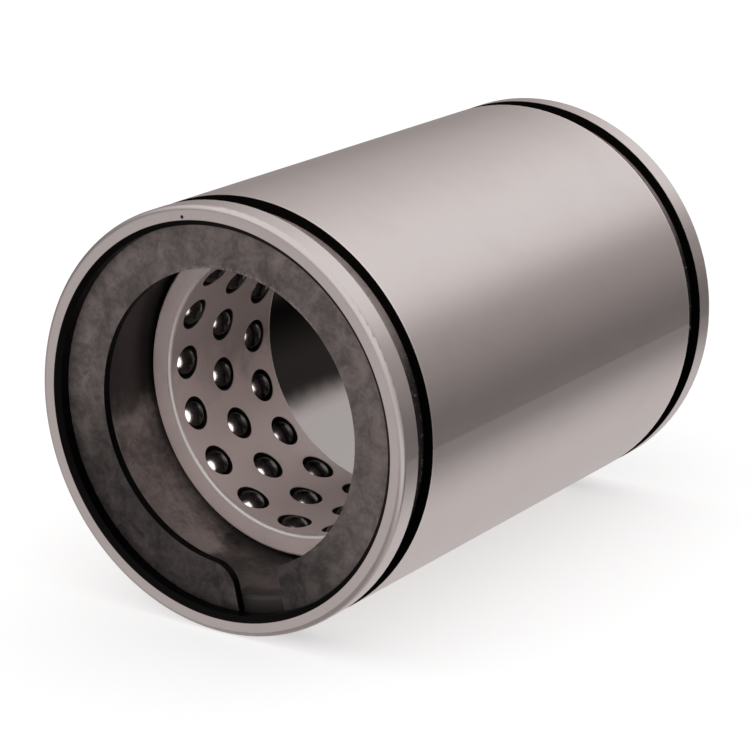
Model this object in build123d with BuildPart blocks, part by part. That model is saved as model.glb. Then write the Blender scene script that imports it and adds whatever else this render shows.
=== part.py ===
"""Rotary and linear ball bushing with a travelling ball cage.

A ground outer sleeve holds a short cage of staggered balls. The balls roll between the sleeve's bore
and a shaft, so the cage follows the shaft at half its speed, along the axis and round it, until it
meets one of the two flat snap rings that close the sleeve's ends.

Frame: the bushing's axis is Y, with the front end towards -Y. Z is up, and the origin is the centre of
the sleeve. Millimetres. Clock angles run from +Z towards +X, as seen from the front.
"""

import os
from math import cos, radians, sin

from build123d import *

# Outer sleeve
outer_radius = 22.5
sleeve_length = 65.0
edge_rounding = 0.55
retaining_groove_offset = 2.7
retaining_groove_width = 2.7
retaining_groove_radius = 21.25

# Running parts: shaft, balls and raceway
shaft_radius = 15.0
ball_radius = 3.969 / 2
race_clearance = 0.02
raceway_radius = shaft_radius + 2 * ball_radius + race_clearance
raceway_chamfer = 0.35
ball_circle_radius = shaft_radius + ball_radius

# Snap rings and their seats just inside each end
seat_depth = 2.7
snap_ring_thickness = 0.95
snap_ring_inner_radius = 15.7
snap_ring_outer_radius = 20.8
seat_groove_width = 1.0
seat_groove_radius = 20.9
mouth_bore_radius = 20.4
mouth_chamfer = 0.5
ring_gap = 5.9
ring_gap_clock = 168
long_corner_radius = 3.0
short_corner_radius = 1.3

# Cage
balls_per_row = 17
row_count = 3
row_spacing = 6.15
cage_length = 18.6
cage_inner_radius = 15.45
cage_outer_radius = 17.9
cage_bore_rounding = 0.4
cage_rim_chamfer = 0.25
pocket_clearance = 0.04
pocket_lip_radius = 1.86
pocket_lip_thickness = 0.7
first_ball_clock = 16.2
cage_centre_y = -10.5

half_length = sleeve_length / 2
ball_pitch_angle = 360 / balls_per_row


def export_piece(part, name):
    """Label a finished piece and write it to its own STEP file."""
    part.label = name
    export_step(part, f"parts/{name}.step")


def radial_plane(radius, y, clock):
    """Plane whose origin is on the given radius and whose normal points away from the axis."""
    outward = (sin(radians(clock)), 0, cos(radians(clock)))
    return Plane(
        origin=(radius * outward[0], y, radius * outward[2]),
        x_dir=(0, 1, 0),
        z_dir=outward,
    )


def row_clock(row, place):
    """Clock angle of a ball: each row stands half a pitch round from the row before it."""
    half_pitch_turns = 0.5 * (row % 2)
    return first_ball_clock + (place + half_pitch_turns) * ball_pitch_angle


def row_y(row):
    """Axial place of a row of balls, with the middle row at the cage's centre."""
    return cage_centre_y + (row - (row_count - 1) / 2) * row_spacing


ball_places = [
    (row, place, row_y(row), row_clock(row, place))
    for row in range(row_count)
    for place in range(balls_per_row)
]


def make_sleeve():
    """Sleeve turned from one profile: raceway, end seats, mouth chamfers and two outer grooves."""
    seat_y = half_length - seat_depth
    groove_start_y = half_length - retaining_groove_offset
    groove_end_y = groove_start_y - retaining_groove_width
    with BuildPart() as sleeve:
        with BuildSketch(Plane.XY):
            with BuildLine():
                Polyline(
                    (raceway_radius, 0),
                    (raceway_radius, seat_y - raceway_chamfer),
                    (raceway_radius + raceway_chamfer, seat_y),
                    (seat_groove_radius, seat_y),
                    (seat_groove_radius, seat_y + seat_groove_width),
                    (mouth_bore_radius, seat_y + seat_groove_width),
                    (mouth_bore_radius, half_length - mouth_chamfer),
                    (mouth_bore_radius + mouth_chamfer, half_length),
                    (outer_radius, half_length),
                    (outer_radius, groove_start_y),
                    (retaining_groove_radius, groove_start_y),
                    (retaining_groove_radius, groove_end_y),
                    (outer_radius, groove_end_y),
                    (outer_radius, 0),
                    close=True,
                )
            profile = make_face()
            outer_corner = profile.vertices().sort_by(lambda v: v.X + v.Y)[-1]
            fillet(outer_corner, radius=edge_rounding)
            mirror(about=Plane.XZ)
        revolve(axis=Axis.Y)
    return sleeve.part


def make_snap_ring(inner_face_y, outward):
    """Flat spring ring with a straight-sided gap, sketched downwards, and rounded inner corners."""
    turn = radians(ring_gap_clock - 180)
    ring_plane = Plane(
        origin=(0, inner_face_y, 0),
        x_dir=(cos(turn), 0, -sin(turn)),
        z_dir=(0, -1, 0),
    )
    with BuildPart() as ring:
        with BuildSketch(ring_plane) as outline:
            Circle(snap_ring_outer_radius)
            Circle(snap_ring_inner_radius, mode=Mode.SUBTRACT)
            with Locations((0, -snap_ring_outer_radius)):
                Rectangle(ring_gap, snap_ring_outer_radius, mode=Mode.SUBTRACT)
            inner_corners = outline.vertices().group_by(lambda v: round(Vector(v).length, 3))[0]
            left_corner, right_corner = inner_corners.sort_by(Axis.X)
            fillet(left_corner, radius=long_corner_radius)
            fillet(right_corner, radius=short_corner_radius)
        extrude(amount=-outward * snap_ring_thickness)
    return ring.part


def make_cage():
    """Tube with one pocket per ball, drilled from outside and left with a narrower lip at the bore."""
    pocket_floor_radius = cage_inner_radius + pocket_lip_thickness
    wall = cage_outer_radius - cage_inner_radius
    with BuildPart() as cage:
        with BuildSketch(Plane.XZ.offset(-cage_centre_y)):
            Circle(cage_outer_radius)
            Circle(cage_inner_radius, mode=Mode.SUBTRACT)
        extrude(amount=cage_length / 2, both=True)
        end_edges = cage.edges().filter_by(GeomType.CIRCLE).group_by(lambda e: e.radius)
        fillet(end_edges[0], radius=cage_bore_rounding)
        chamfer(end_edges[-1], length=cage_rim_chamfer)
        lip_planes = [radial_plane(cage_inner_radius - wall, y, clock) for _, _, y, clock in ball_places]
        with BuildSketch(*lip_planes):
            Circle(pocket_lip_radius)
        extrude(amount=2 * wall, mode=Mode.SUBTRACT)
        floor_planes = [radial_plane(pocket_floor_radius, y, clock) for _, _, y, clock in ball_places]
        with BuildSketch(*floor_planes):
            Circle(ball_radius + pocket_clearance)
        extrude(amount=2 * wall, mode=Mode.SUBTRACT)
    return cage.part


def make_ball(y, clock):
    """One steel ball, centred in its pocket."""
    with BuildPart() as ball:
        with Locations(radial_plane(ball_circle_radius, y, clock)):
            Sphere(ball_radius)
    return ball.part


os.makedirs("parts", exist_ok=True)
export_piece(make_sleeve(), "outer_sleeve")
export_piece(make_snap_ring(-(half_length - seat_depth), -1), "front_snap_ring")
export_piece(make_snap_ring(half_length - seat_depth, 1), "rear_snap_ring")
export_piece(make_cage(), "ball_cage")
for row, place, y, clock in ball_places:
    export_piece(make_ball(y, clock), f"ball_row{row + 1}_{place + 1:02d}")
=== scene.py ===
from math import cos, radians, sin

import bpy
from mathutils import Matrix, Vector


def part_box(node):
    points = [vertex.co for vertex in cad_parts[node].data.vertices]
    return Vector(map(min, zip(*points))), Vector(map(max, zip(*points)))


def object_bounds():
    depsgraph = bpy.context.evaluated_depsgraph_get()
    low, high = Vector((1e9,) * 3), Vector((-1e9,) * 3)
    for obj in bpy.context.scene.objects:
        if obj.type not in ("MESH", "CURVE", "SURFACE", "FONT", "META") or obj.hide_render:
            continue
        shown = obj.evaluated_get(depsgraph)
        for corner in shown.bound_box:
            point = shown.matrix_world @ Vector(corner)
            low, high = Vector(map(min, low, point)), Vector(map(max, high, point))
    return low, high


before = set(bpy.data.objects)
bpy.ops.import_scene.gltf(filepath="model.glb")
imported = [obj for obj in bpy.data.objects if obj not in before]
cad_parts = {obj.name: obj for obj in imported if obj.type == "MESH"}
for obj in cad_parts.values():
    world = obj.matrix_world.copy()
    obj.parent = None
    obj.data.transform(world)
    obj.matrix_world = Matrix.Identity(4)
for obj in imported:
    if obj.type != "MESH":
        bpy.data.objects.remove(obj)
cad_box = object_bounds()

MM = 0.001

# ---------------------------------------------------------------- places on the bushing
# The axis is Y, with the front end towards -Y. Radii are measured from the axis. Distances along it are
# measured from the sleeve's centre and are the same at both ends. Clock angles run from +Z towards +X, as
# seen from the front.
low, high = cad_box
OUTSIDE = high.x
END = high.y
ROUNDING = 0.55 * MM
GROOVE_NEAR, GROOVE_FAR = END - 5.4 * MM, END - 2.7 * MM
GROOVE_FLOOR = OUTSIDE - 1.25 * MM
SEAT = END - 2.7 * MM
SEAT_RADIUS = 20.9 * MM
RACEWAY = 18.99 * MM
RING_HOLE = 15.7 * MM
CAGE_OUTSIDE, CAGE_BORE, CAGE_BORE_ROUNDING = 17.9 * MM, 15.45 * MM, 0.4 * MM


# ---------------------------------------------------------------- node graphs
class Graph:
    """Short way to add nodes to a shader tree and wire them up."""

    def __init__(self, tree):
        self.tree = tree
        tree.nodes.clear()

    def add(self, kind, inputs=None, **settings):
        """Add a node, apply its settings, and set or link each named or numbered input."""
        node = self.tree.nodes.new(kind)
        for name, value in settings.items():
            setattr(node, name, value)
        for key, value in (inputs or {}).items():
            self.put(node.inputs[key], value)
        return node

    def put(self, socket, value):
        """Link an output socket to this input, or give the input a plain value."""
        if isinstance(value, bpy.types.NodeSocket):
            self.tree.links.new(value, socket)
        else:
            socket.default_value = value

    def math(self, operation, *values):
        return self.add("ShaderNodeMath", dict(enumerate(values)), operation=operation).outputs[0]

    def product(self, first, *others):
        """All the values multiplied: for masks, the patch that they share."""
        for other in others:
            first = self.math("MULTIPLY", first, other)
        return first

    def mixture(self, first, second, share):
        """Weighted sum in which second has the given share."""
        return self.math("ADD", self.product(first, 1 - share), self.product(second, share))

    def step(self, value, start, end, low=0.0, high=1.0):
        """Smooth change from low to high while value goes from start to end."""
        sockets = {"Value": value, "From Min": start, "From Max": end, "To Min": low, "To Max": high}
        return self.add("ShaderNodeMapRange", sockets, interpolation_type="SMOOTHSTEP").outputs["Result"]

    def band(self, value, start, end, soft):
        """One between start and end and zero outside, with soft sides."""
        return self.product(self.step(value, start - soft, start), self.step(value, end + soft, end))

    def sector(self, clock, start, end, soft):
        """One between two clock angles in degrees, with soft sides."""
        return self.band(clock, radians(start), radians(end), radians(soft))

    def towards(self, clock, angle, start, end):
        """Smooth change with the cosine of the turn away from a clock angle in degrees."""
        return self.step(self.math("COSINE", self.math("SUBTRACT", clock, radians(angle))), start, end)

    def wander(self, clock, noise, amount):
        """Clock angle pushed to and fro by a noise, so that a patch has an uneven edge."""
        return self.math("ADD", clock, self.product(self.math("SUBTRACT", noise, 0.5), amount))

    def scale(self, value, from_low, from_high, low, high):
        """Straight-line change from low to high while value goes from one end to the other."""
        sockets = {"Value": value, "From Min": from_low, "From Max": from_high, "To Min": low, "To Max": high}
        return self.add("ShaderNodeMapRange", sockets).outputs["Result"]

    def vary(self, noise, low, high):
        """Value between low and high over a noise's usual range."""
        return self.scale(noise, 0.3, 0.7, low, high)

    def blend(self, share, first, second):
        """Colour that goes from first to second as share goes from 0 to 1."""
        node = self.add("ShaderNodeMix", data_type="RGBA")
        self.put(node.inputs["Factor"], share)
        self.put(node.inputs[6], first)
        self.put(node.inputs[7], second)
        return node.outputs[2]

    def noise(self, vector, size, detail, roughness, distortion=0.0):
        """Noise whose blobs are about size metres across."""
        sockets = {
            "Vector": vector, "Scale": 1 / size, "Detail": detail,
            "Roughness": roughness, "Distortion": distortion,
        }
        return self.add("ShaderNodeTexNoise", sockets).outputs["Fac"]

    def vector(self, x, y, z):
        return self.add("ShaderNodeCombineXYZ", {0: x, 1: y, 2: z}).outputs[0]

    def bump(self, height, distance, strength=1.0):
        sockets = {"Height": height, "Distance": distance, "Strength": strength}
        return self.add("ShaderNodeBump", sockets).outputs[0]


class Surface:
    """A material whose colour, roughness and metallic value are laid down patch by patch."""

    def __init__(self, name):
        """Start the material with its place on the object, its distance from the axis and its clock angle."""
        self.material = bpy.data.materials.new(name)
        self.material.use_nodes = True
        self.graph = g = Graph(self.material.node_tree)
        self.place = g.add("ShaderNodeTexCoord").outputs["Object"]
        x, self.y, z = g.add("ShaderNodeSeparateXYZ", {0: self.place}).outputs
        self.radius = g.math("SQRT", g.math("ADD", g.product(x, x), g.product(z, z)))
        self.clock = g.math("ARCTAN2", x, z)
        self.colour = self.rough = self.metallic = None

    def paint(self, where, colour, cover=1.0):
        """Lay a colour over the patch where the mask is one, hiding this share of what is under it."""
        if cover < 1:
            where = self.graph.product(where, cover)
        self.colour = self.graph.blend(where, self.colour, colour)

    def roughen(self, where, amount):
        self.rough = self.graph.math("ADD", self.rough, self.graph.product(where, amount))

    def add_metal(self, where, amount):
        self.metallic = self.graph.math("ADD", self.metallic, self.graph.product(where, amount))

    def finish(self, normal, specular=0.5):
        """Principled surface on the material's output."""
        sockets = {
            "Base Color": self.colour, "Roughness": self.rough, "Metallic": self.metallic,
            "Normal": normal, "Specular IOR Level": specular,
        }
        shader = self.graph.add("ShaderNodeBsdfPrincipled", sockets)
        self.graph.add("ShaderNodeOutputMaterial", {"Surface": shader.outputs[0]})
        return self.material


def grey(level, red=1.0, green=1.0, blue=1.0):
    """Linear colour from a linear level and a tint."""
    return (level * red, level * green, level * blue, 1.0)


def warm(level):
    """The slightly warm grey that all the steel has."""
    return grey(level, 1.05, 0.955, 0.935)


def brown(level):
    """The browner grey of the coated rings, the cage and old oil."""
    return grey(level, 1.13, 0.94, 0.90)


BLACK = grey(0.0)


# ---------------------------------------------------------------- sleeve
def sleeve_steel():
    """Ground steel outside, dark grooves, and a darker raceway filmed with oil, with a painted dark
    reflection down its left.
    """
    surface = Surface("ground_bearing_steel")
    g, place, y, radius, clock = surface.graph, surface.place, surface.y, surface.radius, surface.clock
    along = g.math("ABSOLUTE", y)
    grain = g.noise(place, 0.35 * MM, 3.0, 0.6)
    cloud = g.noise(place, 6 * MM, 3.0, 0.55)
    mottle = g.noise(place, 0.9 * MM, 4.0, 0.7, 0.4)
    # grinding lines run round the axis: clock angles are shrunk so that a line is long round and thin along
    lines = g.noise(g.vector(g.product(clock, 0.004), y, radius), 0.25 * MM, 4.0, 0.7)
    streaks = g.noise(g.vector(g.product(clock, 0.012), g.product(y, 0.12), 0.3), 0.5 * MM, 3.0, 0.6)
    shade = g.product(g.vary(cloud, 0.97, 1.03), g.vary(grain, 0.985, 1.015), g.vary(streaks, 0.985, 1.015))
    inside = g.step(radius, SEAT_RADIUS + 0.08 * MM, SEAT_RADIUS + 0.02 * MM)
    surface.colour = g.blend(shade, BLACK, warm(0.62))
    surface.rough = g.vary(grain, 0.33, 0.37)
    surface.metallic = g.scale(inside, 0, 1, 0.93, 1.0)
    surface.paint(inside, warm(0.34))
    surface.roughen(inside, -0.25)
    paint_edges(surface, along)
    paint_outer_grooves(surface, along, mottle)
    paint_oil_film_and_dark_reflection(surface, along, inside, mottle, cloud)
    paint_mouths(surface, along, inside)
    height = g.math("ADD", g.product(lines, 0.7), g.product(grain, 0.5))
    return surface.finish(g.bump(height, 0.0004 * MM))


def paint_edges(surface, along):
    """Rounding at each rim with a painted highlight on its upper right, a painted highlight on the arris
    inside each groove, and one small dark pit in the front rim.
    """
    g, radius = surface.graph, surface.radius
    rounding_start = END - ROUNDING
    rounding = g.product(
        g.step(along, rounding_start - 0.02 * MM, rounding_start + 0.03 * MM),
        g.step(along, END - 0.002 * MM, END - 0.01 * MM),
        g.step(radius, OUTSIDE - 1.0 * MM, OUTSIDE - 0.9 * MM),
    )
    # painted highlight: the rounding is painted lighter towards clock 42
    painted_highlight_side = g.towards(surface.clock, 42, 0.3, 0.85)
    surface.paint(rounding, g.blend(painted_highlight_side, warm(0.46), warm(0.60)), 0.8)
    # painted highlight: the arris at each groove's near edge is painted lighter
    arris_highlight = g.product(
        g.band(along, GROOVE_NEAR - 0.17 * MM, GROOVE_NEAR + 0.03 * MM, 0.05 * MM),
        g.step(radius, OUTSIDE - 0.12 * MM, OUTSIDE - 0.08 * MM),
    )
    surface.paint(arris_highlight, warm(0.85), 0.6)
    pit_radius, pit_clock = 21.3 * MM, radians(-10)
    pit_place = Vector((pit_radius * sin(pit_clock), -END, pit_radius * cos(pit_clock)))
    distances = {0: surface.place, 1: pit_place}
    to_pit = g.add("ShaderNodeVectorMath", distances, operation="DISTANCE").outputs["Value"]
    surface.paint(g.step(to_pit, 0.24 * MM, 0.14 * MM), warm(0.03))


def paint_outer_grooves(surface, along, mottle):
    """Black groove walls, and a bottom that is brown-grey at the top and painted black with specks at the
    right as a dark reflection.
    """
    g, radius, clock = surface.graph, surface.radius, surface.clock
    groove = g.product(
        g.band(radius, GROOVE_FLOOR - 0.2 * MM, OUTSIDE - 0.06 * MM, 0.04 * MM),
        g.band(along, GROOVE_NEAR - 0.01 * MM, GROOVE_FAR + 0.02 * MM, 0.05 * MM),
    )
    bottom = g.step(radius, GROOVE_FLOOR + 0.17 * MM, GROOVE_FLOOR + 0.11 * MM)
    worn = g.blend(g.step(mottle, 0.3, 0.7), brown(0.34), brown(0.46))
    light_specks = g.blend(g.sector(clock, 40, 98, 14), warm(0.05), warm(0.22))
    # painted dark reflection: past clock 62 to 88 the groove bottom turns black with specks
    painted_dark_with_specks = g.blend(g.step(mottle, 0.54, 0.66), warm(0.02), light_specks)
    painted_dark_reflection_side = g.step(g.math("ADD", clock, g.product(mottle, 0.5)), radians(62), radians(88))
    surface.paint(groove, g.blend(bottom, warm(0.008), g.blend(painted_dark_reflection_side, worn, painted_dark_with_specks)))
    surface.roughen(groove, 0.2)
    surface.add_metal(groove, g.scale(bottom, 0, 1, 0.07, -0.55))


def paint_oil_film_and_dark_reflection(surface, along, inside, mottle, cloud):
    """Painted dark reflection down the left of the raceway, and an uneven dull film inside both ends that is
    lighter on the lower left and darker on the upper left.
    """
    g, y, clock = surface.graph, surface.y, surface.clock
    # painted dark reflection down the left of the raceway
    painted_dark_reflection = g.sector(g.wander(clock, cloud, 0.1), -117, -52, 9)
    surface.paint(g.product(inside, painted_dark_reflection), warm(0.02), 0.93)
    ends = g.product(inside, g.step(along, 17.0 * MM, 19.5 * MM))
    uneven = g.step(g.mixture(cloud, mottle, 0.4), 0.36, 0.62)
    uneven_clock = g.wander(clock, cloud, 0.5)
    # the end film is painted lighter on the lower left and darker on the upper left
    lighter_lower_left = g.sector(uneven_clock, -153, -105, 7)
    darker_upper_left = g.product(g.sector(uneven_clock, -94, -58, 9), 0.85)
    by_the_gap = g.product(g.sector(clock, 150, 179, 6), g.step(y, -26.0 * MM, -28.5 * MM))
    film = g.blend(uneven, brown(0.035), brown(0.12))
    film = g.blend(lighter_lower_left, film, g.blend(uneven, brown(0.13), brown(0.33)))
    film = g.blend(darker_upper_left, film, brown(0.03))
    film = g.blend(by_the_gap, film, brown(0.03))
    surface.paint(ends, film)
    surface.roughen(ends, 0.35)
    surface.add_metal(ends, g.step(y, -1 * MM, 1 * MM, -0.75, -0.15))


def paint_mouths(surface, along, inside):
    """Mouth and ring seat at each end painted black as shade, and a dark shoulder behind the ring."""
    g = surface.graph
    shoulder = g.product(
        g.band(surface.radius, RACEWAY + 0.03 * MM, SEAT_RADIUS + 0.06 * MM, 0.04 * MM),
        g.step(along, SEAT - 0.5 * MM, SEAT - 0.4 * MM),
    )
    # painted shade: the mouth and ring seat are near black
    shaded_mouth = g.product(inside, g.step(along, SEAT + 0.01 * MM, SEAT + 0.06 * MM))
    surface.paint(shoulder, brown(0.03))
    surface.paint(shaded_mouth, warm(0.006))
    surface.metallic = g.math("MAXIMUM", surface.metallic, shaded_mouth)


# ---------------------------------------------------------------- rings, cage and balls
def snap_ring_steel():
    """Mottled dark phosphate coat with painted shade towards the bottom, worn flecks with a painted highlight
    at the top of the hole, and black edges painted as shade on the walls of the hole and gap.
    """
    surface = Surface("phosphated_spring_steel")
    g, place, radius, clock = surface.graph, surface.place, surface.radius, surface.clock
    cloud = g.noise(place, 2.4 * MM, 5.0, 0.65, 0.6)
    fine = g.noise(place, 0.45 * MM, 3.0, 0.7)
    mottle = g.step(g.mixture(cloud, fine, 0.3), 0.34, 0.66)
    # painted light and shade: a lighter copy of the coat towards clock 18 and a darker one towards the bottom
    painted_lit_half = g.blend(mottle, brown(0.095), brown(0.207))
    painted_shaded_half = g.blend(mottle, brown(0.025), brown(0.082))
    coat = g.blend(g.towards(clock, 18, -0.15, -0.75), painted_lit_half, painted_shaded_half)
    nearer_the_hole = g.step(radius, RING_HOLE + 3.1 * MM, RING_HOLE + 1.5 * MM, 1.0, 0.80)
    surface.colour = g.blend(nearer_the_hole, BLACK, coat)
    # worn flecks with a painted highlight along the top of the hole
    at_the_hole = g.step(radius, RING_HOLE + 0.4 * MM, RING_HOLE + 0.06 * MM)
    worn = g.product(at_the_hole, g.step(fine, 0.45, 0.65), g.towards(clock, 10, 0.75, 0.95))
    surface.paint(worn, warm(0.34), 0.6)
    # painted shade: the walls of the hole and of the gap, which stand square to the two faces, are painted
    # near black
    normal = g.add("ShaderNodeNewGeometry").outputs["Normal"]
    along_axis = g.math("ABSOLUTE", g.add("ShaderNodeSeparateXYZ", {0: normal}).outputs["Y"])
    shaded_wall = g.step(along_axis, 0.7, 0.5)
    surface.paint(shaded_wall, brown(0.006))
    surface.rough = g.vary(fine, 0.5, 0.66)
    surface.metallic = g.scale(shaded_wall, 0, 1, 0.6, 1.0)
    return surface.finish(g.bump(g.math("ADD", fine, cloud), 0.01 * MM))


def cage_alloy():
    """Satin turned alloy with fine turning marks, painted highlights on the bore edges, and pocket walls
    painted dark as shade.
    """
    surface = Surface("turned_cage_alloy")
    g, place, y, radius, clock = surface.graph, surface.place, surface.y, surface.radius, surface.clock
    grain = g.noise(place, 0.4 * MM, 3.0, 0.6)
    cloud = g.noise(place, 3.5 * MM, 3.0, 0.55)
    rings = g.noise(g.vector(radius, y, g.product(clock, 0.0006)), 0.12 * MM, 3.0, 0.6)
    shade = g.product(g.vary(cloud, 0.95, 1.05), g.vary(grain, 0.97, 1.03))
    surface.colour = g.blend(shade, BLACK, brown(0.90))
    # pocket walls, painted near black as shade: what lies between the bore and the outside, away from the end
    # faces
    cage_low, cage_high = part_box("ball_cage")
    middle, half = (cage_low.y + cage_high.y) / 2, (cage_high.y - cage_low.y) / 2
    from_middle = g.math("ABSOLUTE", g.math("SUBTRACT", y, middle))
    pocket_shade = g.product(
        g.step(radius, CAGE_BORE + 0.05 * MM, CAGE_BORE + 0.15 * MM),
        g.step(radius, CAGE_OUTSIDE - 0.02 * MM, CAGE_OUTSIDE - 0.1 * MM),
        g.step(from_middle, half - 0.6 * MM, half - 0.7 * MM),
    )
    surface.paint(pocket_shade, warm(0.012))
    # the upper left of the bore is painted darker
    darker_upper_left_bore = g.sector(g.wander(clock, cloud, 0.6), -84, -32, 24)
    darker_upper_left_bore = g.product(darker_upper_left_bore, g.step(radius, CAGE_BORE + 0.45 * MM, CAGE_BORE + 0.15 * MM))
    surface.paint(darker_upper_left_bore, brown(0.06), 0.5)
    edge_radius = CAGE_BORE + CAGE_BORE_ROUNDING
    # painted highlight: the rounded bore edges are painted near white
    bore_edge_highlight = g.product(
        g.step(radius, edge_radius + 0.07 * MM, edge_radius - 0.05 * MM),
        g.step(from_middle, half - 0.5 * MM, half - 0.3 * MM),
    )
    surface.paint(bore_edge_highlight, warm(0.98))
    surface.rough = g.vary(grain, 0.38, 0.46)
    surface.roughen(bore_edge_highlight, 0.2)
    surface.metallic = g.scale(bore_edge_highlight, 0, 1, 0.35, 1.0)
    normal = g.bump(g.math("ADD", rings, g.product(grain, 0.5)), 0.002 * MM)
    return surface.finish(normal, specular=0.3)


def ball_steel():
    """Polished balls painted near black, a painted shade standing in for the dark bore they reflect, with the
    faintest smear.
    """
    surface = Surface("polished_ball_steel")
    g = surface.graph
    smear = g.noise(surface.place, 1.5 * MM, 3.0, 0.6)
    surface.colour = g.blend(g.step(smear, 0.3, 0.7), warm(0.055), warm(0.075))
    surface.rough = g.vary(smear, 0.21, 0.25)
    surface.metallic = 1.0
    return surface.finish(g.bump(smear, 0.001 * MM, 0.3))


steel, ring, alloy, polished = sleeve_steel(), snap_ring_steel(), cage_alloy(), ball_steel()


def material_for(name):
    if name == "outer_sleeve":
        return steel
    if name.endswith("snap_ring"):
        return ring
    return alloy if name == "ball_cage" else polished


for name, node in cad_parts.items():
    node.data.materials.clear()
    node.data.materials.append(material_for(name))


# ---------------------------------------------------------------- floor
def floor_paint():
    """Pale floor, lit from within a little so that shadows stay faint."""
    material = bpy.data.materials.new("pale_floor")
    material.use_nodes = True
    g = Graph(material.node_tree)
    sockets = {
        "Base Color": grey(0.60), "Roughness": 0.9,
        "Emission Color": grey(1.0), "Emission Strength": 0.55,
    }
    shader = g.add("ShaderNodeBsdfPrincipled", sockets)
    g.add("ShaderNodeOutputMaterial", {"Surface": shader.outputs[0]})
    return material


FLOOR_HALF = 3.0
floor_mesh = bpy.data.meshes.new("floor")
floor_corners = [(sx * FLOOR_HALF, sy * FLOOR_HALF, low.z) for sx, sy in ((-1, -1), (1, -1), (1, 1), (-1, 1))]
floor_mesh.from_pydata(floor_corners, [], [(0, 1, 2, 3)])
floor_mesh.materials.append(floor_paint())
floor = bpy.data.objects.new("floor", floor_mesh)
bpy.context.scene.collection.objects.link(floor)
floor.visible_glossy = False

# ---------------------------------------------------------------- light
# brightness of the room at clock angles in degrees round the bushing's axis, behind it and in front of it
REAR_BANDS = [
    (-180, 0.66), (-150, 0.70), (-120, 0.50), (-95, 0.24), (-80, 0.15), (-64, 0.40), (-40, 0.56), (-10, 0.90),
    (15, 1.26), (32, 1.36), (46, 0.84), (57, 0.38), (68, 0.28), (80, 0.34), (92, 0.20), (106, 0.06),
    (120, 0.01), (130, 0.14), (139, 0.56), (150, 0.88), (165, 0.72), (180, 0.66),
]
FRONT_BANDS = [
    (-180, 0.30), (-150, 0.36), (-120, 0.64), (-100, 0.50), (-86, 0.18), (-74, 0.20), (-60, 0.75),
    (-40, 1.15), (0, 1.35), (30, 1.45), (54, 1.40), (72, 0.64), (86, 0.28), (98, 0.50), (114, 1.20),
    (140, 0.50), (180, 0.30),
]
DARK_BAND_WARMTH = 0.13


def light_ramp(graph, turn, bands):
    """Brightness round the Y axis, smoothed between the bands, with the dark ones a little warmer."""
    ramp = graph.add("ShaderNodeValToRGB", {0: turn})
    ramp.color_ramp.interpolation = "B_SPLINE"
    elements = ramp.color_ramp.elements
    elements.remove(elements[1])
    for angle, level in bands:
        place = (angle + 180) / 360
        element = elements.new(place) if place > 0 else elements[0]
        warmth = DARK_BAND_WARMTH * max(0.0, 1.0 - level)
        element.color = (level * (1 + warmth), level, level * (1 - warmth / 4), 1)
    return ramp.outputs["Color"]


def studio_light():
    """Soft room whose brightness changes round the bushing's axis, with a plain pale backdrop."""
    world = bpy.data.worlds.new("soft_studio")
    world.use_nodes = True
    bpy.context.scene.world = world
    g = Graph(world.node_tree)
    direction = g.add("ShaderNodeTexCoord").outputs["Generated"]
    x, y, z = g.add("ShaderNodeSeparateXYZ", {0: direction}).outputs
    turn = g.scale(g.math("ARCTAN2", x, z), radians(-180), radians(180), 0, 1)
    rear = light_ramp(g, turn, REAR_BANDS)
    front = light_ramp(g, turn, FRONT_BANDS)
    level = g.blend(g.step(y, 0.35, -0.05), rear, front)
    # the camera sees the plain backdrop instead of the bands
    seen = g.add("ShaderNodeLightPath").outputs["Is Camera Ray"]
    level = g.blend(seen, level, grey(1.0))
    background = g.add("ShaderNodeBackground", {"Color": level, "Strength": 1.0})
    g.add("ShaderNodeOutputWorld", {"Surface": background.outputs[0]})


def ball_softbox(width, height, distance, watts):
    """Softbox in front on the right that only the balls catch."""
    light = bpy.data.lights.new("ball_softbox", "AREA")
    light.shape = "RECTANGLE"
    light.size, light.size_y, light.energy = width, height, watts
    softbox = bpy.data.objects.new("ball_softbox", light)
    bpy.context.scene.collection.objects.link(softbox)
    place = Vector((0.68, -0.70, 0.26)).normalized()
    around = Vector((place.z, 0, -place.x)).normalized()
    across = place.cross(around)
    softbox.matrix_world = Matrix((around, across, place)).transposed().to_4x4()
    softbox.location = place * distance
    softbox.visible_camera = False
    balls = bpy.data.collections.new("lit_by_the_softbox")
    for name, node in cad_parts.items():
        if name.startswith("ball_row"):
            balls.objects.link(node)
    softbox.light_linking.receiver_collection = balls


studio_light()
ball_softbox(width=0.56, height=0.36, distance=0.30, watts=15.0)


# ---------------------------------------------------------------- camera
def add_camera(azimuth, elevation, distance, aim):
    """Level camera in front on the right, a little above the axis."""
    data = bpy.data.cameras.new("camera")
    camera = bpy.data.objects.new("camera", data)
    bpy.context.scene.collection.objects.link(camera)
    data.lens = 135.69
    data.sensor_width = 36
    data.clip_start = 0.01
    data.clip_end = 20
    back = Vector((sin(azimuth) * cos(elevation), -cos(azimuth) * cos(elevation), sin(elevation)))
    camera.location = aim + back * distance
    camera.rotation_mode = "QUATERNION"
    camera.rotation_quaternion = (-back).to_track_quat("-Z", "Y")
    bpy.context.scene.camera = camera


add_camera(radians(33.43), radians(16.87), 310.3 * MM, Vector((-1.1, -1.7, -2.75)) * MM)
bpy.context.scene.view_settings.view_transform = "Standard"
